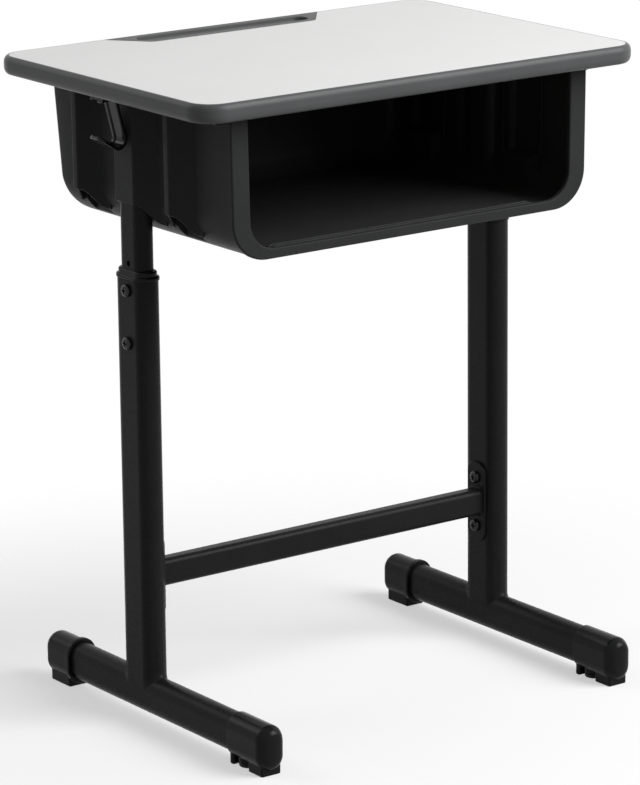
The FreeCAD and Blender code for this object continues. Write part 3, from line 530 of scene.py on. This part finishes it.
def bag_hook():
    """Grooved strip section carried along the hook's path. Near the tip the width follows a corner arc, the thickness
    rounds off and the groove runs out."""
    points, way = hook_path()
    side = np.stack([way[:, 1], -way[:, 0]], 1)
    left = np.linalg.norm(np.diff(points, axis=0), axis=1)[::-1].cumsum()[::-1]
    left = np.append(left, 0)
    w, t, g = HOOK_WIDE / 2, HOOK_THICK / 2, GROOVE_WIDE / 2
    half = [(w, -t, HOOK_EDGE_R), (w, t, HOOK_EDGE_R), (g, t, GROOVE_EDGE_R),
            (g - GROOVE_SLOPE, t - GROOVE_DEEP, GROOVE_FLOOR_R)]
    mirrored = [(-a, b, r) for a, b, r in half[::-1]]
    section = soft_loop(mirrored[-1:] + half + mirrored[:-1], steps=5)
    groove = (np.abs(section[:, 0]) <= g + GROOVE_REACH) & (section[:, 1] > 0)
    dip = np.where(groove, t - section[:, 1], 0)
    fade = step(left, *GROOVE_FADE)[:, None]
    near = np.clip(left, 0, HOOK_TIP_R)
    broad = (w - HOOK_TIP_R + np.sqrt(HOOK_TIP_R ** 2 - (HOOK_TIP_R - near) ** 2)) / w
    thin = np.sqrt(1 - (1 - np.clip(left / t, 0, 1)) ** 2) * (1 - HOOK_TIP_THIN) + HOOK_TIP_THIN
    across = section[None, :, 0] * broad[:, None]
    off = (section[None, :, 1] + dip[None] * (1 - fade)) * thin[:, None]
    x = points[:, None, 0] + side[:, None, 0] * off
    z = points[:, None, 1] + side[:, None, 1] * off
    grid = np.stack([x, LEG_Y + across, z], -1)
    ends = [np.repeat(row.mean(0)[None, None], grid.shape[1], 1) for row in (grid[0], grid[-1])]
    return [ring(np.concatenate([ends[0], grid, ends[1]]))]


def saddle(x):
    """Height of the foot tube's upper side at a distance from its middle plane."""
    return FOOT_MID + (FOOT_TALL - FOOT_WIDE) / 2 + np.sqrt(np.clip((FOOT_WIDE / 2) ** 2 - x ** 2, 0, None))


def lower_tube():
    """Flat oval raised from the foot tube's curve: a hollow weld spreads out at its foot by a quarter arc, and the wall
    returns down inside."""
    points, way = oval(LOWER_LONG, LOWER_WIDE, steps=18)
    inside = oval(LOWER_LONG - 2 * TUBE_WALL, LOWER_WIDE - 2 * TUBE_WALL, steps=18)[0]
    u = np.linspace(0, 1, 9)[:, None] * np.pi / 2
    out, rise = 1 - np.sin(u), 1 - np.cos(u)
    ripple = 1 + WELD_RIPPLE * np.sin(np.arange(len(points)) * RIPPLE_TURN)[None]
    x = points[:, 0] + way[:, 0] * WELD_SIDE * out
    y = points[:, 1] + way[:, 1] * WELD_SPREAD * out * ripple
    weld = np.stack([x, y, saddle(x) + WELD_TALL * rise], -1)
    top = soft_line([(0, LOWER_TOP - MOUTH_DOWN), (0, LOWER_TOP, MOUTH_R), (-TUBE_WALL, LOWER_TOP)], steps=5)
    upper = carried((points, way), top)
    low = np.column_stack([inside, saddle(inside[:, 0])])[None]
    return [loop(upright(np.concatenate([weld, upper, low]), -LEG_X, LEG_Y))]


def collar():
    """Stack of ovals: sleeve, round bead, slim neck with a soft top, then down the bore."""
    edge = soft_line([(-COLLAR_SEAT, 0), (COLLAR_OUT, 0, COLLAR_UNDER_R), (COLLAR_OUT, COLLAR_BEAD, COLLAR_BEAD_R),
                      (-COLLAR_NECK, COLLAR_BEAD + COLLAR_STEP, COLLAR_NECK_R),
                      (-COLLAR_NECK, COLLAR_TALL, COLLAR_BEAD_R), (-COLLAR_IN, COLLAR_TALL)], steps=7)
    sleeve = (LOWER_LONG - 2 * TUBE_WALL - FIT, LOWER_WIDE - 2 * TUBE_WALL - FIT)
    bore = (UPPER_LONG + 2 * FIT, UPPER_WIDE + 2 * FIT)
    rows = [(*sleeve, -COLLAR_DEEP)]
    rows += [(LOWER_LONG + 2 * a, LOWER_WIDE + 2 * a, h) for a, h in edge[:-1]]
    rows += [(*bore, COLLAR_TALL), (*bore, -COLLAR_DEEP)]
    return [loop(upright(ovals(rows), -LEG_X, LEG_Y, LOWER_TOP))]


def recess_arm(across, along):
    """One arm of the cross recess: 1 over its floor, falling evenly to 0 at its mouth."""
    (floor_w, floor_l), (mouth_w, mouth_l) = RECESS_FLOOR, RECESS_MOUTH
    sides = np.clip((mouth_w - across) / (mouth_w - floor_w), 0, 1)
    return sides * np.clip((mouth_l - along) / (mouth_l - floor_l), 0, 1)


def bolt(bite):
    """Round-headed bolt along +X. The head is a square grid pressed into a disc, its height a flat crown that falls off
    in a quarter arc, less a cross-shaped recess with sloping walls."""
    edges = np.sort([*RECESS_FLOOR, *RECESS_MOUTH]) / BOLT_HEAD_R
    line = np.concatenate([[0], edges, np.linspace(BOLT_FLAT, 1, 13)])
    line = np.concatenate([-line[:0:-1], line])
    u, v = np.meshgrid(line, line, indexing="ij")
    y, z = BOLT_HEAD_R * u * np.sqrt(1 - v ** 2 / 2), BOLT_HEAD_R * v * np.sqrt(1 - u ** 2 / 2)
    r = np.minimum(np.hypot(y, z), BOLT_HEAD_R)
    over = np.clip(r - (BOLT_HEAD_R - BOLT_EDGE_R), 0, BOLT_EDGE_R)
    fall = np.sqrt(np.clip(BOLT_EDGE_R ** 2 - over ** 2, 0, None))
    crown = BOLT_HEAD_TALL - BOLT_EDGE_R + fall - BOLT_CROWN * r ** 2
    a, b = np.abs(u) * BOLT_HEAD_R, np.abs(v) * BOLT_HEAD_R
    sunk = RECESS_DEEP * np.maximum(recess_arm(a, b), recess_arm(b, a))
    head = np.stack([-(crown - sunk), y, z], -1)
    rim = np.concatenate([head[0], head[1:, -1], head[-1, -2::-1], head[-2:0:-1, 0]])
    seat = rim * [0, 1, 1]
    neck = seat * BOLT_R / BOLT_HEAD_R
    end = neck + [bite, 0, 0]
    skirt = np.stack([rim, seat, neck, end, end * [1, 0, 0]])
    return [faces_of(head), ring(skirt)]


def height_bolts():
    """Two bolts in the outside of each leg."""
    left = [part for z in BOLT_LEVELS for part in shifted(bolt(BOLT_BITE), -LEG_X - LOWER_WIDE / 2, LEG_Y, z)]
    return left + flipped(left)


def bar_bolts():
    """Two bolts through each end plate."""
    x, made = LEG_X - LOWER_WIDE / 2 - END_THICK, bolt(END_THICK + TUBE_WALL)
    right = [part for s in (-1, 1) for part in shifted(made, x, LEG_Y, BAR_HEIGHT + s * END_PITCH / 2)]
    return right + flipped(right)


def cross_bar():
    """Rounded rectangular tube along X, wall closed at both ends, each end spread by a hollow weld."""
    half = LEG_X - LOWER_WIDE / 2 - END_THICK
    path = rounded_outline(BAR_DEEP, BAR_TALL, BAR_R)
    turn = np.linspace(0, np.pi / 2, 7)
    weld = np.stack([BAR_WELD * (1 - np.sin(turn)), half - 2 * BAR_WELD * (1 - np.cos(turn))], 1)
    bore = [(-TUBE_WALL, half), (-TUBE_WALL, -half)]
    section = np.concatenate([weld * [1, -1], weld[::-1], bore])
    return [loop(lying_x(carried(path, section), y=LEG_Y, z=BAR_HEIGHT))]


def bar_plate():
    """Steel plate with round corners and soft edges, on the inner side of the left leg."""
    section = soft_line([(-END_LID, 0), (0, 0, END_BACK_R), (0, END_THICK, END_FACE_R), (-END_LID, END_THICK)], steps=6)
    plate = lidded(carried(rounded_outline(END_WIDE, END_TALL, END_R, steps=14), section))
    return [ring(lying_x(plate, -LEG_X + LOWER_WIDE / 2, LEG_Y, BAR_HEIGHT))]


def cap_sleeve(section):
    """Oval sleeve of a foot cap, its section (outwards, along the foot) closed on the middle line at both ends."""
    return lidded(carried(oval(FOOT_TALL + 2 * CAP_WALL, FOOT_WIDE + 2 * CAP_WALL, steps=18), section))


def cap_block(wide, long, r, y, low=0.0):
    """Block under a cap: a rounded rectangle raised from the floor into the cap, its lower edge softened."""
    section = soft_line([(-BLOCK_LID, low), (0, low, BLOCK_EDGE_R), (0, BLOCK_TOP)], steps=5)
    return ring(upright(lidded(carried(rounded_outline(wide, long, r, steps=10), section)), -LEG_X, y))


def front_cap():
    """Oval sleeve along Y: rows start at the middle of the domed face, turn over its edge, run back to the soft mouth
    and down the bore. Towards the face its lower side sinks into a chin by a smooth step."""
    start, end = LEG_Y - FRONT_REACH, LEG_Y - FRONT_REACH + FRONT_CAP
    tip, bore = FOOT_WIDE / 2 + CAP_WALL, CAP_FIT - CAP_WALL
    sleeve = cap_sleeve(soft_line([
        (-tip, start), (-FACE_EDGE, start + FACE_DOME, FACE_R), (0, start + FRONT_NOSE, NOSE_R), (0, end, CAP_MOUTH_R),
        (bore, end, CAP_BORE_R), (bore, start + FRONT_END)], steps=12))
    below = np.clip(-sleeve[..., 1:2] / (FOOT_TALL / 2), 0, 1)
    chin = below * (1 - step(sleeve[..., 2:], start + CHIN_FROM, start + CHIN_LONG))
    sleeve = sleeve - chin * [0, CHIN_DEEP, 0]
    return [ring(lying_y(sleeve, -LEG_X, 0, FOOT_MID)),
            cap_block(TOE_WIDE, TOE_LONG, TOE_R, start + TOE_BACK + TOE_LONG / 2),
            cap_block(TOE_WIDE, HEEL_LONG, TOE_R, end - HEEL_LONG / 2),
            cap_block(2 * BOSS_R, 2 * BOSS_R, BOSS_R, GLIDE_Y, BOSS_LOW)]


def rear_cap():
    """Oval sleeve along Y with a rolled lip at its mouth, a rounded closed end and one long block."""
    start, end = LEG_Y + REAR_REACH - REAR_CAP, LEG_Y + REAR_REACH
    tip, bore = FOOT_WIDE / 2 + CAP_WALL, CAP_FIT - CAP_WALL
    sleeve = cap_sleeve(soft_line([
        (-tip, end), (0, end, REAR_NOSE), (0, start + LIP_LONG, LIP_ROOT_R), (LIP_OUT, start + LIP_LONG, LIP_R),
        (LIP_OUT, start, LIP_R), (bore, start, CAP_BORE_R), (bore, end - REAR_END)], steps=10))
    block_y = end - BLOCK_BACK - BLOCK_LONG / 2
    return [ring(lying_y(sleeve, -LEG_X, 0, FOOT_MID)), cap_block(TOE_WIDE, BLOCK_LONG, TOE_R, block_y)]


def glide():
    """Turned disc with soft edges on its stud: a profile carried round a circle."""
    path = rounded_outline(2 * GLIDE_R, 2 * GLIDE_R, GLIDE_R)
    neck = STUD_R - GLIDE_R
    section = soft_line([(-GLIDE_R, 0), (0, 0, GLIDE_SOLE_R), (0, GLIDE_TALL, GLIDE_RIM_R),
                         (neck, GLIDE_TALL, STUD_ROOT_R), (neck, STUD_TALL, STUD_END_R),
                         (-GLIDE_R, STUD_TALL)], steps=6)
    return [ring(upright(carried(path, section), -LEG_X, GLIDE_Y))]


def u_line(half, low, r):
    """Open U in the XZ plane: down a leaning side, round a corner, along the bottom and up again. Each side is divided
    at shares of its height."""
    lean = half - BOX_TAPER
    line = soft_line([(-half, TOP_UNDER), (-lean, low, r), (lean, low, r), (half, TOP_UNDER)], steps=16)
    down = line[:1] + (line[1:2] - line[:1]) * np.array(SIDE_LEVELS)[:, None]
    return np.concatenate([line[:1], down, line[1:-1], down[::-1] * [-1, 1], line[-1:]])


def wall_limit(y, z, grow):
    """How far from the middle the side wall may reach: drawn in round the leg tube's oval and at the ribs' open
    ends."""
    dy = np.abs(y - LEG_Y)
    r, run = UPPER_WIDE / 2 + SLEEVE_ROOM + grow, (UPPER_LONG - UPPER_WIDE) / 2
    chord = np.sqrt(np.clip(r ** 2 - np.clip(dy - run, 0, None) ** 2, 0, None))
    limit = np.where(dy < run + r, LEG_X - chord, NO_LIMIT)
    side, top = NOTCH_HALF + grow, BOX_FLOOR + NOTCH_TALL + grow
    for place in RIB_PLACES:
        off = np.abs(y - LEG_Y - place)
        share = (1 - step(off, side, side + NOTCH_SLOPE)) * (1 - step(z, top - NOTCH_CLOSE, top))
        limit = np.minimum(limit, np.where(share > 0, BOX_HALF - share * (NOTCH_IN + grow), NO_LIMIT))
    return limit


def box_skin(inset):
    """One skin of the box: the U carried back from the front, then drawn in round the rear edges by a quarter arc, and
    closed up to the top line. The rear leans forward below, and the sides keep inside the wall's limit. Rows lie close
    together at the notches, the leg's sleeve and the plate's pocket."""
    base = u_line(BOX_HALF, BOX_FLOOR, BOX_CORNER)
    inward = u_line(BOX_HALF - 1, BOX_FLOOR + 1, BOX_CORNER - 1) - base
    rear = BOX_REAR - inset
    low = np.clip(1 - (base[:, 1] - BOX_FLOOR) / BOX_CORNER, 0, 1)
    r = (BOX_EDGE_R + (BOX_REAR_R - BOX_EDGE_R) * low - inset)[None]
    close = [place + s * (NOTCH_HALF + d) for place in RIB_PLACES for s in (-1, 1) for d in NOTCH_ROWS]
    close += [s * d for s in (-1, 1) for d in LEG_ROWS]
    even = np.linspace(BOX_FRONT + SKIN_BACK, BOX_REAR - BOX_REAR_R, 26)
    y = np.unique(np.round([*(LEG_Y + np.array(close)), *even], 3))
    a = np.linspace(0, np.pi / 2, 10)[1:, None]
    depth = np.concatenate([np.minimum(y[:, None], rear - r), rear - r + r * np.sin(a)])
    drawn = np.concatenate([np.zeros((len(y), r.shape[1])), r * (1 - np.cos(a))]) + inset
    x, z = base[:, 0] + inward[:, 0] * drawn, base[:, 1] + inward[:, 1] * drawn
    x, depth = np.vstack([x, x[-1:]]), np.vstack([depth, depth[-1:]])
    z = np.vstack([z, np.full((1, z.shape[1]), TOP_UNDER)])
    x = np.sign(x) * np.minimum(np.abs(x), wall_limit(depth, z, inset))
    pocket = np.abs(depth - LEG_Y) < PLATE_LONG / 2 + PLATE_ROOM
    z = np.where(pocket, np.minimum(z, TOP_UNDER - PLATE_THICK - PLATE_ROOM), z)
    lean = BOX_REAR_LEAN * (TOP_UNDER - z) / BOX_TALL * step(depth, BOX_LEAN_FROM, BOX_REAR - BOX_REAR_R)
    return np.stack([x, depth - lean, z], -1)


def rib(place, wide, top):
    """Hollow left-hand rib: a crest with softly hollowed flanks, two skins a wall apart. Its lower lip lies on a slope
    and sinks along the flanks by a smooth step."""
    t = np.linspace(0, 1, 12)
    half, shoulder, foot = wide / 2, wide / 2 + RIB_SHOULDER, wide / 2 + RIB_RUN + RIB_SPREAD
    drop = RIB_PROUD - RIB_SHOULDER_DROP
    crest = soft_line([(-shoulder, drop), (-half, RIB_PROUD, RIB_EDGE_R), (half, RIB_PROUD, RIB_EDGE_R),
                       (shoulder, drop)], steps=8)
    hollow = (drop + RIB_SUNK) * (1 - t) ** RIB_HOLLOW - RIB_SUNK
    flank = np.column_stack([shoulder + (foot - shoulder) * t, hollow])[1:]
    line = np.concatenate([flank[::-1] * [-1, 1], crest, flank])
    way = np.gradient(line, axis=0)
    way = way / np.linalg.norm(way, axis=1)[:, None]
    out = np.stack([-way[:, 1], way[:, 0]], 1)
    low = BOX_FLOOR + TRIM_RISE * (line[:, 1] + TRIM_IN - RIB_PROUD) / TRIM_IN
    low = low - RIB_SWOOP * step(1 - line[:, 1] / RIB_PROUD, SWOOP_FROM, SWOOP_TO)
    skins = []
    for inset, lip in RIB_LIPS:
        rows = []
        for draw, z in [(draw, low + rise) for draw, rise in lip] + [(0.0, np.full(len(line), top))]:
            at = line - out * (inset + draw)
            proud = at[:, 1] - RIB_TAPER * (TOP_UNDER - z) / BOX_TALL
            rows.append(np.stack([-BOX_HALF - proud, LEG_Y + place + at[:, 0], z], -1))
        skins.append(np.stack(rows))
    return shell(*skins)


def box_rim():
    """Flange round the open front: a soft-edged section carried along the U, as wide as the outer and inner lines are
    apart. The section's far half keeps its distance from the inner line."""
    outer = u_line(BOX_HALF + RIM_PROUD, BOX_FLOOR - RIM_PROUD / 2, BOX_CORNER + RIM_PROUD)
    inner = u_line(BOX_HALF + RIM_PROUD - RIM_WIDE, BOX_FLOOR - RIM_PROUD / 2 + RIM_LOW, RIM_INNER_R)
    across = inner - outer
    wide = np.linalg.norm(across, axis=1)
    across = across / wide[:, None]
    span = 20.0
    section = soft_loop([(0, RIM_THICK, RIM_BACK_R), (0, 0, RIM_EDGE_R), (span, 0, RIM_INSIDE_R),
                         (span, RIM_THICK, RIM_BACK_R)], steps=7)
    far = section[:, :1] > span / 2
    s = np.where(far, wide[None] - (span - section[:, :1]), section[:, :1])
    flat = outer[None] + across[None] * s[..., None]
    grid = np.stack([flat[..., 0], np.broadcast_to(BOX_FRONT + section[:, 1:], s.shape), flat[..., 1]], -1)
    return [faces_of(grid, wrap_rows=True), end_fill(grid[:, 0]), end_fill(grid[:, -1])]


def floor_ridge():
    """Ridge along the front of the box floor: a section with two rounded crests and a groove, carried along X, that
    sinks by a quarter arc at both ends."""
    x = RIDGE_LONG / 2 * np.sin(np.linspace(-np.pi / 2, np.pi / 2, 61))
    end = np.clip((np.abs(x) - RIDGE_LONG / 2 + RIDGE_SINK) / RIDGE_SINK, 0, 1)
    rise = np.sqrt(np.clip(1 - end ** 2, RIDGE_LEAST, 1))[:, None]
    section = soft_loop([(-y, z, r) for y, z, r in RIDGE_HALF] + RIDGE_HALF[::-1], steps=5)
    y = BOX_FRONT + RIM_THICK + RIDGE_BACK + section[:, 0] * np.ones_like(rise)
    z = BOX_FLOOR + BOX_WALL - RIDGE_ROOT + (section[:, 1] + RIDGE_ROOT) * rise
    grid = np.stack([np.broadcast_to(x[:, None], y.shape), y, z], -1)
    return [ring(grid), end_fill(grid[0]), end_fill(grid[-1])]


def ear(x, y, across):
    """Screw ear: a tab with two round outer corners, its lower edge softened by smaller first rings."""
    root, half = -BOX_WALL / 2, EAR_LONG / 2
    tab = soft_loop([(root, -half, EAR_ROOT_R), (EAR_OUT, -half, EAR_R), (EAR_OUT, half, EAR_R),
                     (root, half, EAR_ROOT_R)], steps=7)
    rows = []
    for share, rise in EAR_ROWS:
        out, along = np.minimum(tab[:, 0], EAR_OUT * share), tab[:, 1] * share
        place = [x - out, y + along] if across else [x + along, y + out]
        rows.append(np.column_stack([*place, np.full(len(tab), TOP_UNDER - EAR_THICK + rise)]))
    grid = np.stack(rows)
    return [ring(grid), end_fill(grid[0]), end_fill(grid[-1])]


def book_box():
    """Open-front moulded box: two skins, three hollow ribs a side, rim, floor ridge and screw ears."""
    left = rib(0, LEG_RIB_WIDE, TOP_UNDER - PLATE_THICK - PLATE_ROOM)
    for place in RIB_PLACES:
        left += rib(place, RIB_WIDE, TOP_UNDER)
    for place in EAR_PLACES:
        left += ear(-BOX_HALF, LEG_Y + place, across=True)
    rear = ear(-REAR_EAR_X, BOX_REAR, across=False) + ear(REAR_EAR_X, BOX_REAR, across=False)
    return shell(box_skin(0.0), box_skin(BOX_WALL)) + left + flipped(left) + rear + box_rim() + floor_ridge()


piece("moulded_edge", edge_band(), "upper_desk", edge_plastic, ["edge_band"])
piece("ribbed_box", book_box(), "upper_desk", box_plastic, ["book_box"], sharp=32)
piece("tray", pencil_tray(), "upper_desk", tray_plastic, ["pencil_tray"])
pair("strap_hook", bag_hook(), "upper_desk", hook_plastic, "hook", "bag_hook")
pair("outer_leg", lower_tube(), "lower_frame", leg_coat, "coated_steel", "lower_tube")
pair("leg_collar", collar(), "lower_frame", cap_plastic, "foot_plastic", "collar")
piece("leg_bolts", height_bolts(), "lower_frame", bolt_zinc, ["height_bolts"])
piece("stretcher", cross_bar(), "lower_frame", leg_coat, ["cross_bar"])
pair("stretcher_plate", bar_plate(), "lower_frame", leg_coat, "coated_steel", "bar_plate")
piece("stretcher_bolts", bar_bolts(), "lower_frame", bolt_zinc, ["bar_bolts"])
pair("toe_cap", front_cap(), "lower_frame", cap_plastic, "foot_plastic", "front_cap")
pair("heel_cap", rear_cap(), "lower_frame", cap_plastic, "foot_plastic", "rear_cap")
piece("levelling_foot_left", glide(), "left_glide", glide_plastic, ["glide_left"])
piece("levelling_foot_right", flipped(glide()), "right_glide", glide_plastic, ["glide_right"])


def stood(right, up, back, place):
    """Matrix whose columns are an object's three axes and its place."""
    return Matrix([*np.column_stack([right, up, back, place]).tolist(), [0, 0, 0, 1]])


def white_surround():
    """World that is white where it is seen straight, in gloss or through glass, and a dim fill on everything else."""
    world = bpy.data.worlds.new("white_surround")
    bpy.context.scene.world = world
    world.use_nodes = True
    tree = world.node_tree
    ray = tree.nodes.new("ShaderNodeLightPath").outputs
    sharp = add(tree, "ShaderNodeMath", {"operation": "ADD"}, i0=ray["Is Glossy Ray"], i1=ray["Is Transmission Ray"])
    seen = add(tree, "ShaderNodeMath", {"operation": "ADD", "use_clamp": True},
               i0=ray["Is Camera Ray"], i1=sharp.outputs[0])
    sky = tree.nodes["Background"]
    sky.inputs["Color"].default_value = (1, 1, 1, 1)
    feed(tree, sky, Strength=spread(tree, seen.outputs[0], 0.0, 1.0, FILL_LIGHT, 1.0))


def pale_floor():
    """Pale matt floor under the desk that keeps its shadow and turns clear with the distance from the middle."""
    corners = [(-FLOOR_HALF, -FLOOR_HALF, 0), (FLOOR_HALF, -FLOOR_HALF, 0), (FLOOR_HALF, FLOOR_HALF, 0),
               (-FLOOR_HALF, FLOOR_HALF, 0)]
    mesh = bpy.data.meshes.new("floor")
    mesh.from_pydata(corners, [], [(0, 1, 2, 3)])
    floor = placed("floor", mesh)
    pale = bpy.data.materials.new("pale_floor")
    pale.use_nodes = True
    tree = pale.node_tree
    tree.nodes.remove(tree.nodes["Principled BSDF"])
    place = tree.nodes.new("ShaderNodeTexCoord").outputs["Object"]
    reach = add(tree, "ShaderNodeVectorMath", {"operation": "LENGTH"}, i0=place).outputs["Value"]
    fade = add(tree, "ShaderNodeMapRange", {"interpolation_type": "SMOOTHSTEP"},
               i0=reach, i1=FADE_FROM, i2=FADE_TO, i3=FLOOR_CLEAR, i4=1.0).outputs[0]
    matt = add(tree, "ShaderNodeBsdfDiffuse", Color=grey(FLOOR_TONE))
    clear = tree.nodes.new("ShaderNodeBsdfTransparent")
    mix = add(tree, "ShaderNodeMixShader", i0=fade, i1=matt.outputs[0], i2=clear.outputs[0])
    feed(tree, tree.nodes["Material Output"], Surface=mix.outputs[0])
    mesh.materials.append(pale)


def soft_boxes():
    """Two square soft boxes that face the desk: a strong one at the front right and a weak one at the back left."""
    for name, place, size, power in LAMPS:
        lamp = bpy.data.lights.new(name, "AREA")
        lamp.size, lamp.energy = size, power
        back = np.array(place) - np.array(LAMP_AIM)
        back = back / np.linalg.norm(back)
        right = np.cross([0, 0, 1], back)
        right = right / np.linalg.norm(right)
        placed(name, lamp).matrix_world = stood(right, np.cross(back, right), back, place)


def camera():
    """Camera at the photograph's place: its three axes, its position and the lens for a 785 pixel tall frame."""
    lens = bpy.data.cameras.new("camera")
    lens.sensor_fit, lens.sensor_height, lens.sensor_width = "VERTICAL", 36.0, 36.0
    lens.lens, lens.clip_end = 187.176, 50
    right, up, back = (0.806381, -0.591307, -0.010231), (0.159641, 0.200984, 0.966499), (-0.569442, -0.781, 0.256466)
    made = placed("camera", lens)
    made.matrix_world = stood(right, up, back, place=(-2.664988, -3.632106, 1.540619))
    bpy.context.scene.camera = made


bpy.context.scene.view_settings.view_transform = "Standard"
white_surround()
pale_floor()
soft_boxes()
camera()
bpy.context.view_layer.update()
